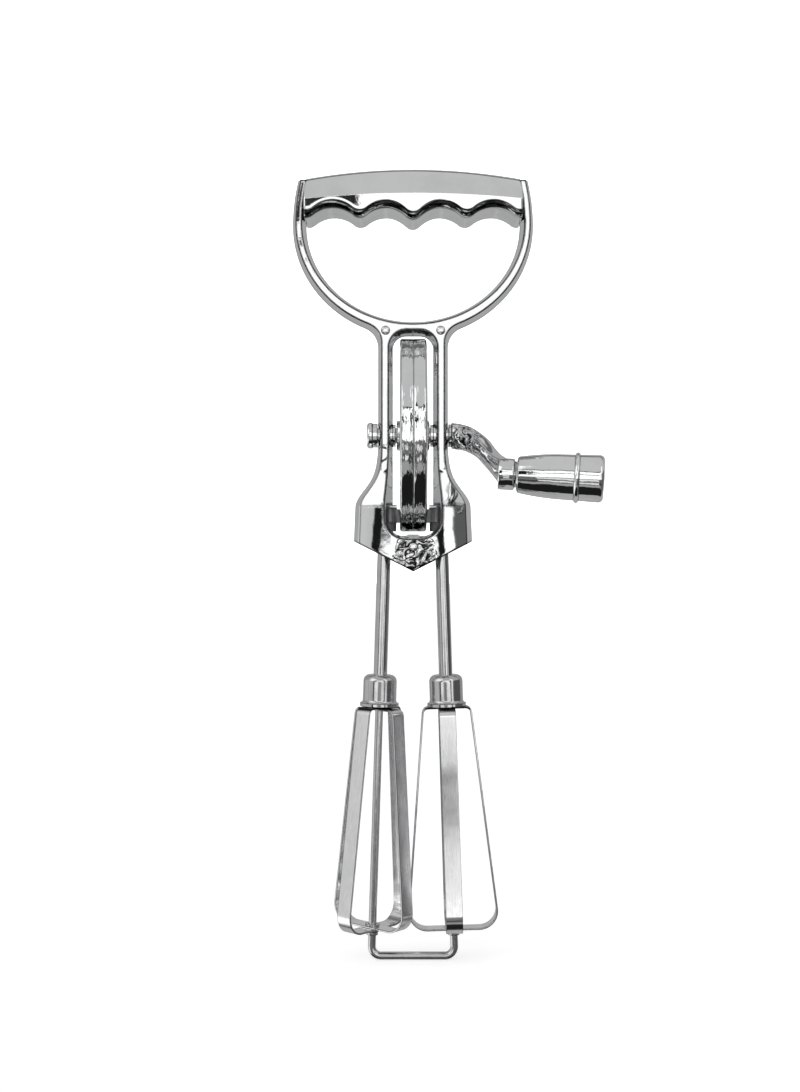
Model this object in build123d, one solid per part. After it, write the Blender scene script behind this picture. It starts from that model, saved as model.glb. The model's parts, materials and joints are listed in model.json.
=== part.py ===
from build123d import *
import math
import os

# Rotary hand egg beater with a D-shaped handle.
# Millimetres, +Z up. The origin is the middle of the hand grip, the object's front faces -Y
# and the crank is on the +X side. "Depth" on the beaters is the distance below the axle,
# measured along each beater's own slanting axis.

# ---- handle ring and legs -------------------------------------------------------------
RING_Z = -12.0            # level at which the ring is widest
RING_HALF_WIDTH = 47.2
RING_LOW = 43.9           # from the widest level down to the ring's bottom
RING_HIGH = 60.0          # the upper arms follow a taller ellipse
RING_TOP = 5.6
RING_BAR = 5.4            # bar width at the parting plane
RING_BAR_LOW = 6.3        # the same at the bottom of the ring
HALF_DEPTH = 6.0          # ring and legs, from the parting plane to the flat face
OUTER_DRAFT = 1.5         # how far the outer side leans in over the half depth
INNER_DRAFT = 1.5
LEG_OUTER = 13.75
LEG_TOP = -51.0
NECK_TOP = -98.0          # here the legs start to flare into the gear housing
YOKE_FILLET = 8.0

# ---- gear housing ---------------------------------------------------------------------
FLARE = [
    # level, half width, depth at the side edges, depth in the middle, bow of the sides
    (NECK_TOP, LEG_OUTER, HALF_DEPTH, HALF_DEPTH + 0.05, OUTER_DRAFT),
    (-103.0, 14.1, 6.2, 6.8, 1.7),
    (-107.7, 14.9, 6.5, 8.0, 1.9),
    (-111.7, 16.5, 6.9, 9.6, 2.1),
    (-115.6, 19.2, 7.3, 11.3, 2.3),
    (-119.0, 21.6, 7.7, 12.6, 2.4),
    (-122.0, 22.7, 7.8, 13.2, 2.4),
]
SHOULDER_Z = -122.0       # the front of the band stands proud from here down
BAND_TOP = (22.7, 7.8, 13.6, 2.4)
BAND_LOW = (23.75, 8.2, 13.9, 2.5)
BAND_HALF_WIDTH = 23.5    # at the corners of the V
CORNER_Z = -135.6         # where the sides end and the V begins
TIP_Z = -147.4
SLOT_HALF_WIDTH = 7.9     # at the parting plane
SLOT_TOP = -55.4
SLOT_BOTTOM = -133.0
SLOT_RADIUS = 5.2
SLOT_DRAFT = 0.27         # widening of the slot per mm towards either face
RIVET_X = 10.75
RIVET_Z = -53.7
RIVET_SHANK = 1.1
RIVET_HEAD = 1.75
RIVET_DOME = 0.4
UPPER_RIVET_DEPTH = 6.06   # from the parting plane to the underside of a head
LOWER_RIVET_Z = -138.0
LOWER_RIVET_DEPTH = 13.84

# ---- grip -----------------------------------------------------------------------------
GRIP_HALF_LENGTH = 42.3
GRIP_HALF_DEPTH = 12.2
GRIP_CROWN = 9.9          # top of the grip in the middle
GRIP_CROWN_END = 6.1      # top of the grip at its ends
CREASE_Z = -1.5           # edge between the domed top and the upright faces
CREASE_Z_END = -3.6
FINGER_PITCH = 20.7
FINGER_APEX = -7.2
FINGER_PEAK = -11.0
MIDDLE_PEAK = -11.8       # the middle ridge reaches a little lower
RIDGE_ROUND = 4.0
LOWER_EDGE_ROUND = 2.2
CORE_HALF = 3.6           # half thickness of the bar hidden inside the grip
GRIP_HOLLOW = 7.4         # half depth of the space inside the two grip halves

# ---- axle and drive wheel -------------------------------------------------------------
AXLE_Z = -94.3
AXLE_RADIUS = 3.0
RUNNING_GAP = 0.07        # radial clearance of every turning fit
BODY_GAP = 0.3            # clearance between pieces that move past each other
WHEEL_RADIUS = 37.7
RIM_HALF_WIDTH = 5.15
RIM_INNER = 35.0
WEB_HALF = 1.6
HUB_RADIUS = 5.9
HUB_HALF = 6.45
BUSH_INNER = 6.8          # inner end of the axle bushes
BUSH_RADIUS = 3.9
BUSH_FLANGE_RADIUS = 4.4
SPOKE_HOLES = 5
SPOKE_HOLE_RADIUS = 6.2
SPOKE_HOLE_AT = 17.5

# ---- gears ----------------------------------------------------------------------------
WHEEL_TEETH = 54
PINION_TEETH = 12
SPLAY = 1.8               # lean of each beater's axis from the vertical, degrees
APEX_X = 9.88             # where each beater's axis meets the axle's axis
PITCH_R = 31.5            # wheel pitch radius
GEAR_MODULE = 2 * PITCH_R / WHEEL_TEETH
PINION_R = GEAR_MODULE * PINION_TEETH / 2
PRESSURE = 20.0
BACKLASH = 0.24
WHEEL_ADDENDUM = 0.78 * GEAR_MODULE
WHEEL_DEDENDUM = 1.3 * GEAR_MODULE
PINION_ADDENDUM = 0.8 * GEAR_MODULE
PINION_DEDENDUM = 1.15 * GEAR_MODULE
TOE = 28.8                # inner end of the teeth, below the axle
HEEL = 34.0               # outer end of the teeth
PINION_TOP = 28.0         # depth of the pinion's upper hub face
PINION_LOW = 37.5
PINION_HUB = 4.5
POCKET_RADIUS = 9.1       # the housing's space round each pinion
POCKET_TOP = 27.2
POCKET_FLOOR = 39.5
GUIDE_RADIUS = 4.3        # guide bush under each pinion
GUIDE_FLANGE_RADIUS = 5.4
GUIDE_LOW = 42.5
RECESS_RADIUS = 8.2       # hollow of the housing below the guide bush

# ---- crank ----------------------------------------------------------------------------
CRANK_TURN = 64.0         # rest position: forward from straight down
CRANK_RADIUS = 38.0
HUB_X = 17.4
HUB_HALF_LENGTH = 2.3
ARM_HUB_RADIUS = 5.0
AXLE_END = 20.0           # blind end of the axle inside the arm's hub
ARM = [
    # along X, sideways, from the axle, width across the arm, thickness
    (HUB_X, 0.0, 0.0, 9.6, 8.6),
    (20.9, 0.5, 2.1, 9.5, 8.4),
    (24.4, 0.6, 6.2, 9.2, 7.6),
    (27.0, 0.5, 12.0, 8.7, 6.9),
    (28.8, 0.3, 19.0, 8.1, 6.4),
    (30.6, 0.1, 26.0, 7.9, 6.2),
    (32.5, 0.0, 32.5, 8.0, 6.2),
    (34.0, 0.0, 37.4, 8.2, 6.2),
]
ARM_PIN_RADIUS = 1.1
ARM_PIN_LENGTH = 9.2
BOSS_X = 34.35
BOSS_RADIUS = 5.9
BOSS_HALF = 2.97
KNOB_SPLAY = 7.5          # the knob pin leans outwards from the axle's direction
KNOB_START = 3.9          # along the knob's own axis, from the middle of the boss
KNOB_BODY_LENGTH = 21.2
KNOB_BEAD_LENGTH = 1.7
KNOB_LENGTH = 32.0
KNOB_PIN_RADIUS = 2.5
KNOB_PIN_ROOT = -2.2      # the pin's blind seat in the boss starts here
KNOB_PIN_HEAD_RADIUS = 4.2
KNOB_PIN_HEAD = 1.7
NECK_RADIUS = 6.2         # knob radii: inner end, its edge, belly, bead root, bead, cap
EDGE_RADIUS = 6.85
BELLY_RADIUS = 8.05
FLANK_RADIUS = 8.55
BEAD_ROOT = 8.95
BEAD_CREST = 9.4
CAP_RADIUS = 8.8
CAP_BORE = 6.0
CAP_ROUND = 1.8
CAP_CROWN = 0.25          # doming of the cap's end
CAP_WALL = 1.6

# ---- beaters --------------------------------------------------------------------------
TUBE_RADIUS = 2.65
WIRE_RADIUS = 1.55
TUBE_BORE = WIRE_RADIUS + RUNNING_GAP
FERRULE_TOP = 93.8
FERRULE_LIP = 106.1
FERRULE_RADIUS = 6.55
FERRULE_WALL = 0.85
LIP_RADIUS = 7.6
PLUG_TOP = 96.0
PLUG_STEP = 104.0         # the tube ends here, inside the plug
BLADE_WIDTH = 6.4
BLADE_THICK = 0.7
BLADE_TOP = 106.3
BLADE_BOTTOM = 193.7
SHOULDER_R = 9.6
TOE_R = 18.3
SHOULDER_BEND = 2.6
TOE_BEND = 7.4
LEFT_PHASE = 51.0         # how far each beater's blades are turned at rest
RIGHT_PHASE = 0.0
LOOP_HOLE = 2.0           # clears the wire at the top crossing
EYELET_BARREL = 2.3
EYELET_FLANGE = 2.9
EYELET_RIM = 0.7
WIRE_TOP_Z = -102.0
FOOT_BAR_Z = -298.45
FOOT_CORNER = 3.6
STOP_RADIUS = 2.3         # swaged collar of the wire under each beater


def front_plane(y):
    """Upright plane at this y: local x is +X and local y is +Z."""
    return Plane(origin=(0, y, 0), x_dir=(1, 0, 0), z_dir=(0, -1, 0))


def along_local_x(radius, x_from, x_to):
    """Round bar on the local X axis between two stations."""
    bar = Cylinder(radius, x_to - x_from, rotation=(0, 90, 0))
    return Pos((x_from + x_to) / 2, 0, 0) * bar


def along_x(radius, x_from, x_to):
    """Round bar on the axle's line."""
    return Pos(0, 0, AXLE_Z) * along_local_x(radius, x_from, x_to)


def upright(radius, low, high):
    """Round bar on the local Z axis between two levels."""
    return Pos(0, 0, (low + high) / 2) * Cylinder(radius, high - low)


def both_sides(front):
    """A front half with its mirror image behind the parting plane."""
    return front + mirror(front, Plane.XZ)


def halves(whole):
    """Cut a solid at the parting plane: the front piece and the rear piece."""
    reach = 800
    front_side = Pos(0, -reach / 2, 0) * Box(reach, reach, reach)
    return whole & front_side, whole - front_side


def write(node, shape):
    shape.label = node
    export_step(shape, f"parts/{node}.step")


# ---- handle ring, legs and housing ----------------------------------------------------


def d_outline(half_width, low, high, top):
    """D shape: a lower half ellipse, two upper elliptical arms and a flat top."""
    end = math.degrees(math.asin((top - RING_Z) / high))
    centre = (0, RING_Z)
    lower = EllipticalCenterArc(centre, half_width, low, start_angle=180, arc_size=180)
    right = EllipticalCenterArc(centre, half_width, high, start_angle=0, arc_size=end)
    left = EllipticalCenterArc(centre, half_width, high, start_angle=180 - end, arc_size=end)
    return make_face([lower, right, Line(right @ 1, left @ 0), left])


def handle_disc():
    """The filled D with its outer side leaning in towards the front and the rear face."""
    lean = OUTER_DRAFT
    middle = d_outline(RING_HALF_WIDTH, RING_LOW, RING_HIGH, RING_TOP)
    face = d_outline(RING_HALF_WIDTH - lean, RING_LOW - lean, RING_HIGH - lean, RING_TOP - lean / 2)
    return both_sides(loft([front_plane(0) * middle, front_plane(-HALF_DEPTH) * face], ruled=True))


def hand_opening():
    """The hole in the ring, widening towards both faces."""
    half_width = RING_HALF_WIDTH - RING_BAR
    low = RING_LOW - RING_BAR_LOW
    high = RING_HIGH - RING_BAR
    top = RING_TOP + 10
    reach = 1.5 * HALF_DEPTH
    grow = 1.5 * INNER_DRAFT
    middle = d_outline(half_width, low, high, top)
    face = d_outline(half_width + grow, low + grow, high + grow, top + grow)
    return both_sides(loft([front_plane(0) * middle, front_plane(-reach) * face], ruled=True))


def plan_section(z, half_width, edge_depth, depth, side_bulge):
    """Level section with bowed front, rear and side edges."""
    x = half_width - side_bulge
    front = ThreePointArc((-x, -edge_depth), (0, -depth), (x, -edge_depth))
    right = ThreePointArc((x, -edge_depth), (half_width, 0), (x, edge_depth))
    rear = ThreePointArc((x, edge_depth), (0, depth), (-x, edge_depth))
    left = ThreePointArc((-x, edge_depth), (-half_width, 0), (-x, -edge_depth))
    return Pos(0, 0, z) * make_face([front, right, rear, left])


def legs_and_housing():
    """Both legs as one bar, flaring into the bell of the gear housing with its V bottom."""
    legs = extrude(plan_section(*FLARE[0]), amount=LEG_TOP - NECK_TOP)
    bell = loft([plan_section(*level) for level in FLARE])
    band_ends = [plan_section(SHOULDER_Z, *BAND_TOP), plan_section(TIP_Z, *BAND_LOW)]
    band = loft(band_ends, ruled=True)
    reach = 40.0
    side_z = TIP_Z + (CORNER_Z - TIP_Z) * reach / BAND_HALF_WIDTH
    below = Polyline(
        (-reach, side_z),
        (0, TIP_Z),
        (reach, side_z),
        (reach, TIP_Z - reach),
        (-reach, TIP_Z - reach),
        close=True,
    )
    wedge = extrude(front_plane(30) * make_face(below), amount=60)
    return legs + bell + (band - wedge)


def slot():
    """The long opening for the wheel, widening towards both faces."""
    reach = 15.0
    grow = SLOT_DRAFT * reach
    height = SLOT_TOP - SLOT_BOTTOM
    middle = Pos(0, (SLOT_TOP + SLOT_BOTTOM) / 2) * RectangleRounded(
        2 * SLOT_HALF_WIDTH, height, SLOT_RADIUS
    )
    top = SLOT_TOP + 1.25 * grow
    bottom = SLOT_BOTTOM - 0.5 * grow
    face = Pos(0, (top + bottom) / 2) * RectangleRounded(
        2 * (SLOT_HALF_WIDTH + grow), top - bottom, SLOT_RADIUS + grow
    )
    return both_sides(loft([front_plane(0) * middle, front_plane(-reach) * face], ruled=True))


# ---- beater placing -------------------------------------------------------------------


def on_beater(side, shape):
    """Carry a shape from the beater's own axis (apex at the origin, -Z downwards) to its place."""
    return Pos(side * APEX_X, 0, AXLE_Z) * Rot(0, -side * SPLAY, 0) * shape


def beater_x(z):
    """Distance of a beater's axis from the centre plane at this level."""
    return APEX_X + (AXLE_Z - z) * math.tan(math.radians(SPLAY))


def support_wire():
    """One wire down through both beaters, bent square across the foot, with a stop under each."""
    corner_x = beater_x(FOOT_BAR_Z)
    top_x = beater_x(WIRE_TOP_Z)
    path = FilletPolyline(
        (-top_x, 0, WIRE_TOP_Z),
        (-corner_x, 0, FOOT_BAR_Z),
        (corner_x, 0, FOOT_BAR_Z),
        (top_x, 0, WIRE_TOP_Z),
        radius=FOOT_CORNER,
    )
    wire = sweep(Plane(origin=path @ 0, z_dir=path % 0) * Circle(WIRE_RADIUS), path=path)
    stop = upright(STOP_RADIUS, -BLADE_BOTTOM - 2.2, -BLADE_BOTTOM - 1.0)
    return wire + on_beater(-1, stop) + on_beater(1, stop)


def gear_room(side):
    """Pocket for a pinion, the seat of its guide bush and the recess under it."""
    pocket = upright(POCKET_RADIUS, -POCKET_FLOOR, -POCKET_TOP)
    seat = upright(GUIDE_RADIUS, -GUIDE_LOW - 1, -POCKET_FLOOR + 1)
    recess = upright(RECESS_RADIUS, -2 * GUIDE_LOW, -GUIDE_LOW)
    return on_beater(side, pocket + seat + recess)


def frame_shells(wire):
    whole = handle_disc() + legs_and_housing()
    corners = whole.edges().filter_by_position(Axis.Z, -57, -50)
    corners = [e for e in corners if abs(abs(e.center().X) - LEG_OUTER) < 2 and e.length < 8]
    whole = fillet(corners, YOKE_FILLET)
    whole = whole - hand_opening()
    core = Box(2 * GRIP_HALF_LENGTH, 2 * CORE_HALF, 2 * CORE_HALF)
    whole = whole + core
    whole = whole - slot()
    whole = whole - gear_room(-1) - gear_room(1)
    bush_bore = along_x(BUSH_RADIUS, SLOT_HALF_WIDTH - 2, LEG_OUTER + 5)
    whole = whole - bush_bore - mirror(bush_bore, Plane.YZ) - wire
    for rivet in rivets().values():
        whole = whole - rivet
    return halves(whole)


def rivet(x, z, face_y):
    """Rivet right through both shells with a low round head on each side."""
    pin = Cylinder(RIVET_SHANK, 2 * face_y, rotation=(90, 0, 0))
    ball_radius = (RIVET_HEAD**2 + RIVET_DOME**2) / (2 * RIVET_DOME)
    ball = Pos(0, face_y + RIVET_DOME - ball_radius, 0) * Sphere(ball_radius)
    head = Cylinder(RIVET_HEAD, RIVET_DOME, rotation=(90, 0, 0))
    cap = ball & Pos(0, face_y + RIVET_DOME / 2, 0) * head
    return Pos(x, 0, z) * (pin + cap + mirror(cap, Plane.XZ))


def rivets():
    return {
        "upper_left_rivet": rivet(-RIVET_X, RIVET_Z, UPPER_RIVET_DEPTH),
        "upper_right_rivet": rivet(RIVET_X, RIVET_Z, UPPER_RIVET_DEPTH),
        "lower_rivet": rivet(0, LOWER_RIVET_Z, LOWER_RIVET_DEPTH),
    }


# ---- grip -----------------------------------------------------------------------------


def grip_section(x):
    """Upright section across the grip: a domed top over two flat faces."""
    share = (x / GRIP_HALF_LENGTH) ** 2
    crown = GRIP_CROWN + (GRIP_CROWN_END - GRIP_CROWN) * share
    crease = CREASE_Z + (CREASE_Z_END - CREASE_Z) * share
    d = GRIP_HALF_DEPTH
    rise = crown - crease
    dome = Spline(
        (-d, crease),
        (-0.55 * d, crease + 0.80 * rise),
        (0, crown),
        (0.55 * d, crease + 0.80 * rise),
        (d, crease),
        tangents=[(0.36, 1), (0.36, -1)],
    )
    below = Polyline((d, crease), (d, -16), (-d, -16), (-d, crease))
    face = make_face([dome, below])
    return Plane(origin=(x, 0, 0), x_dir=(0, 1, 0), z_dir=(1, 0, 0)) * face


def finger_cutter():
    """Everything below the scalloped underside."""
    level = FINGER_PEAK
    peaks = [level, level, MIDDLE_PEAK, level, level]
    top = []
    for k in range(4):
        start = (k - 2) * FINGER_PITCH
        middle = (start + FINGER_PITCH / 2, FINGER_APEX)
        end = (start + FINGER_PITCH, peaks[k + 1])
        top.append(ThreePointArc((start, peaks[k]), middle, end))
    left = -2 * FINGER_PITCH
    right = 2 * FINGER_PITCH
    rest = Polyline((right, level), (60, level), (60, -30), (-60, -30), (-60, level), (left, level))
    return extrude(front_plane(30) * make_face([*top, rest]), amount=60)


def grip_halves(shells):
    stations = [-1.0, -0.5, 0.0, 0.5, 1.0]
    body = loft([grip_section(s * GRIP_HALF_LENGTH) for s in stations])
    body = body - finger_cutter()
    cusps = [
        e
        for e in body.edges().filter_by(Axis.Y)
        if e.center().Z < FINGER_PEAK + 0.1 and abs(e.center().X) < 1.5 * FINGER_PITCH
    ]
    body = fillet(cusps, RIDGE_ROUND)
    lower = [
        e
        for e in body.edges()
        if abs(abs(e.center().Y) - GRIP_HALF_DEPTH) < 0.05 and e.center().Z < FINGER_APEX + 0.5
        and abs(e.center().X) < GRIP_HALF_LENGTH - 0.2
    ]
    body = fillet(lower, LOWER_EDGE_ROUND)
    hollow = Box(2 * (GRIP_HALF_LENGTH - 8), 2 * GRIP_HOLLOW, 2 * CORE_HALF + 1)
    body = body - hollow - shells[0] - shells[1]
    return halves(body)


# ---- axle, wheel and crank ------------------------------------------------------------


def bush(side):
    """Flanged bush in a leg, its flange standing in the slot."""
    body = along_x(BUSH_RADIUS, SLOT_HALF_WIDTH, LEG_OUTER - 0.1)
    body = body + along_x(BUSH_FLANGE_RADIUS, BUSH_INNER, SLOT_HALF_WIDTH)
    body = body - along_x(AXLE_RADIUS + RUNNING_GAP, BUSH_INNER - 1, LEG_OUTER + 1)
    return body if side > 0 else mirror(body, Plane.YZ)


def round_about_x(outline):
    """Turned piece about the X axis: the outline lies in the XY plane, radius along local y."""
    return revolve(make_face(outline), axis=Axis.X)


def wheel_half(side):
    """One half of the drive wheel: rim, web, hub and a ring of bevel teeth facing outwards."""
    rim = round_about_x(Polyline(
        (0, RIM_INNER),
        (0, WHEEL_RADIUS - 0.12),
        (0.12, WHEEL_RADIUS),
        (RIM_HALF_WIDTH - 0.6, WHEEL_RADIUS),
        (RIM_HALF_WIDTH, WHEEL_RADIUS - 0.6),
        (RIM_HALF_WIDTH, RIM_INNER),
        close=True,
    ))
    seat = round_about_x(Polyline(
        (0, TOE - 0.6),
        (wheel_root_x(TOE) + 0.1, TOE - 0.6),
        (wheel_root_x(TOE) + 0.1, TOE),
        (wheel_root_x(HEEL) + 0.1, HEEL),
        (0, HEEL),
        close=True,
    ))
    web = round_about_x(Polyline(
        (0, HUB_RADIUS - 1),
        (WEB_HALF, HUB_RADIUS - 1),
        (WEB_HALF, RIM_INNER + 0.5),
        (0, RIM_INNER + 0.5),
        close=True,
    ))
    hub = round_about_x(Polyline(
        (0, AXLE_RADIUS),
        (0, HUB_RADIUS + 2),
        (WEB_HALF + 0.4, HUB_RADIUS + 2),
        (WEB_HALF + 2.2, HUB_RADIUS),
        (HUB_HALF - 0.4, HUB_RADIUS),
        (HUB_HALF, HUB_RADIUS - 0.4),
        (HUB_HALF, AXLE_RADIUS),
        close=True,
    ))
    half = web + seat
    hole = Cylinder(SPOKE_HOLE_RADIUS, 4 * WEB_HALF, rotation=(0, 90, 0))
    for k in range(SPOKE_HOLES):
        half = half - Rot(X=360 / SPOKE_HOLES * k) * Pos(0, 0, SPOKE_HOLE_AT) * hole
    half = half + rim + hub
    tooth = wheel_tooth()
    half = half + [Rot(X=360 / WHEEL_TEETH * k) * tooth for k in range(WHEEL_TEETH)]
    half = half if side > 0 else mirror(half, Plane.YZ)
    return Pos(0, 0, AXLE_Z) * half


def wheel_pitch_x(radius):
    """Distance of the wheel's pitch cone from its middle plane at this radius."""
    pinion_cone = math.atan2(PINION_R, PITCH_R - 0.2)
    wheel_cone = math.radians(90 + SPLAY) - pinion_cone
    return APEX_X - radius / math.tan(wheel_cone)


def wheel_root_x(radius):
    """Distance of the bottom of the tooth spaces from the wheel's middle plane."""
    return wheel_pitch_x(radius) - WHEEL_DEDENDUM * radius / PITCH_R


def wheel_tooth():
    """Straight bevel tooth pointing straight down, tapering towards the common apex."""
    half_thick = (math.pi * GEAR_MODULE - BACKLASH) / 4
    slope = math.tan(math.radians(PRESSURE))
    pitch_x = wheel_pitch_x(PITCH_R)
    sections = []
    for radius in (TOE, HEEL):
        scale = radius / PITCH_R
        tip_x = APEX_X + (pitch_x + WHEEL_ADDENDUM - APEX_X) * scale
        root_x = APEX_X + (pitch_x - WHEEL_DEDENDUM - APEX_X) * scale
        tip_half = (half_thick - WHEEL_ADDENDUM * slope) * scale
        root_half = (half_thick + WHEEL_DEDENDUM * slope) * scale
        outline = Polyline(
            (root_x, -root_half),
            (tip_x, -tip_half),
            (tip_x, tip_half),
            (root_x, root_half),
            close=True,
        )
        sections.append(Pos(0, 0, -radius) * make_face(outline))
    return loft(sections, ruled=True)


def on_crank(shape):
    """Carry a shape from the crank's own plane (arm straight down) to its rest position."""
    return Pos(0, 0, AXLE_Z) * Rot(X=-CRANK_TURN) * shape


def crank_arm():
    """Swan-neck arm: a round hub on the axle, a curved oval arm and the boss of the knob pin."""
    hub = along_local_x(ARM_HUB_RADIUS, HUB_X - HUB_HALF_LENGTH, HUB_X + HUB_HALF_LENGTH)
    points = [(x, y, -r) for x, y, r, _, _ in ARM]
    route = Spline(points, tangents=[(1, 0, 0), (0.32, 0, -1)])
    sections = []
    for point, (_, _, _, width, thick) in zip(points, ARM):
        tangent = route % route.param_at_point(point)
        plane = Plane(origin=point, x_dir=(0, 1, 0), z_dir=tangent)
        sections.append(plane * Ellipse(width / 2, thick / 2))
    arm = loft(sections)
    boss = on_knob(along_local_x(BOSS_RADIUS, -BOSS_HALF, BOSS_HALF))
    body = hub + arm + boss
    body = body - along_local_x(AXLE_RADIUS, 0, AXLE_END)
    body = body - on_knob(along_local_x(KNOB_PIN_RADIUS, KNOB_PIN_ROOT, 20))
    body = body - arm_pin_shape()
    return on_crank(body)


def on_knob(shape):
    """Carry a shape from the knob's own axis (+X outwards from the boss) to the crank's plane."""
    return Pos(BOSS_X, 0, -CRANK_RADIUS) * Rot(0, KNOB_SPLAY, 0) * shape


def arm_pin_shape():
    """Cross pin that keys the arm's hub to the axle."""
    return Pos(HUB_X, 0, 0) * Cylinder(ARM_PIN_RADIUS, ARM_PIN_LENGTH, rotation=(90, 0, 0))


def knob_body():
    """Turned handle: slim at the boss, swelling to a bead where the cap begins."""
    bore = KNOB_PIN_RADIUS + RUNNING_GAP
    start = KNOB_START
    edge = start + 0.6
    end = start + KNOB_BODY_LENGTH
    bead_end = end + KNOB_BEAD_LENGTH
    flank = Spline(
        (edge, EDGE_RADIUS),
        (start + 0.45 * KNOB_BODY_LENGTH, BELLY_RADIUS),
        (end, FLANK_RADIUS),
        tangents=[(1, 0.16), (1, 0.03)],
    )
    bead = ThreePointArc((end, BEAD_ROOT), ((end + bead_end) / 2, BEAD_CREST), (bead_end, BEAD_ROOT))
    outline = [
        Line((start, bore), (start, NECK_RADIUS)),
        Line((start, NECK_RADIUS), (edge, EDGE_RADIUS)),
        flank,
        Line((end, FLANK_RADIUS), (end, BEAD_ROOT)),
        bead,
        Line((bead_end, BEAD_ROOT), (bead_end, bore)),
        Line((bead_end, bore), (start, bore)),
    ]
    return round_about_x(outline)


def knob_cap():
    """Cup over the knob's outer end, closing off the head of the pin."""
    begin = KNOB_START + KNOB_BODY_LENGTH + KNOB_BEAD_LENGTH
    end = KNOB_START + KNOB_LENGTH
    round_x = end - CAP_ROUND
    floor = end - CAP_WALL
    corner = ThreePointArc(
        (round_x, CAP_RADIUS),
        (end - 0.29 * CAP_ROUND, CAP_RADIUS - 0.29 * CAP_ROUND),
        (end, CAP_RADIUS - CAP_ROUND),
    )
    outline = [
        Line((begin, CAP_BORE), (begin, CAP_RADIUS - 0.2)),
        Line((begin, CAP_RADIUS - 0.2), (round_x, CAP_RADIUS)),
        corner,
        Line((end, CAP_RADIUS - CAP_ROUND), (end + CAP_CROWN, 0)),
        Line((end + CAP_CROWN, 0), (floor, 0)),
        Line((floor, 0), (floor, CAP_BORE)),
        Line((floor, CAP_BORE), (begin, CAP_BORE)),
    ]
    return round_about_x(outline)


def knob_pin():
    """Pin through the boss and the knob, headed inside the cap."""
    head_x = KNOB_START + KNOB_BODY_LENGTH + KNOB_BEAD_LENGTH + BODY_GAP
    pin = along_local_x(KNOB_PIN_RADIUS, KNOB_PIN_ROOT, head_x)
    return pin + along_local_x(KNOB_PIN_HEAD_RADIUS, head_x, head_x + KNOB_PIN_HEAD)


def crank_parts():
    axle = along_x(AXLE_RADIUS, -16.9, AXLE_END)
    cross = on_crank(arm_pin_shape())
    cap = Pos(0, 0, AXLE_Z) * round_about_x([
        Line((-18.1, 0), (-18.1, 3.9)),
        ThreePointArc((-18.1, 3.9), (-17.75, 4.75), (-16.9, 5.1)),
        Line((-16.9, 5.1), (-15.9, 5.1)),
        Line((-15.9, 5.1), (-15.9, AXLE_RADIUS)),
        Line((-15.9, AXLE_RADIUS), (-16.9, AXLE_RADIUS)),
        Line((-16.9, AXLE_RADIUS), (-16.9, 0)),
        Line((-16.9, 0), (-18.1, 0)),
    ])
    washer = along_x(4.7, -15.9, -LEG_OUTER - 0.15) - along_x(AXLE_RADIUS, -17, -13)
    collar = along_x(4.5, LEG_OUTER + 0.15, 15.1) - along_x(AXLE_RADIUS, 13, 16)
    return {
        "axle": axle - cross,
        "axle_end_cap": cap,
        "axle_washer": washer,
        "drive_wheel_left_half": wheel_half(-1),
        "drive_wheel_right_half": wheel_half(1),
        "crank_collar": collar,
        "crank_arm": crank_arm(),
        "crank_arm_pin": cross,
        "knob_pin": on_crank(on_knob(knob_pin())),
        "knob_washer": on_crank(on_knob(
            along_local_x(4.9, BOSS_HALF, KNOB_START - BODY_GAP)
            - along_local_x(KNOB_PIN_RADIUS, 0, 8)
        )),
        "knob_body": on_crank(on_knob(knob_body())),
        "knob_end_cap": on_crank(on_knob(knob_cap())),
    }


# ---- beaters --------------------------------------------------------------------------


def pinion_outline(scale):
    """Closed outline of the pinion's teeth, with involute flanks, at this scale."""
    base = PINION_R * math.cos(math.radians(PRESSURE))
    tip = PINION_R + PINION_ADDENDUM
    root = PINION_R - PINION_DEDENDUM
    half_pitch_angle = (math.pi * GEAR_MODULE - BACKLASH) / 4 / PINION_R

    def involute(radius):
        turn = math.acos(min(1.0, base / radius))
        return math.tan(turn) - turn

    def half_angle(radius):
        at_pitch = involute(PINION_R)
        return half_pitch_angle + at_pitch - involute(max(radius, base))

    flank = [root, base, (base + PINION_R) / 2 + 0.1, PINION_R + 0.35 * PINION_ADDENDUM, tip]
    points = []
    for k in range(PINION_TEETH):
        middle = math.radians(360 / PINION_TEETH * (k + 0.5))
        for radius in flank:
            points.append((radius, middle - half_angle(radius)))
        for radius in reversed(flank):
            points.append((radius, middle + half_angle(radius)))
    corners = [(scale * r * math.cos(a), scale * r * math.sin(a)) for r, a in points]
    return make_face(Polyline(*corners, close=True))


def pinion():
    """Bevel pinion with a plain hub above and below, bored for the tube."""
    reference = PITCH_R - 0.2
    ends = [Pos(0, 0, -d) * pinion_outline(d / reference) for d in (TOE, HEEL)]
    teeth = loft(ends, ruled=True)
    hubs = upright(PINION_HUB, -TOE, -PINION_TOP) + upright(PINION_HUB, -PINION_LOW, -HEEL)
    return teeth + hubs - upright(TUBE_RADIUS, -PINION_LOW - 1, -PINION_TOP + 1)


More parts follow.
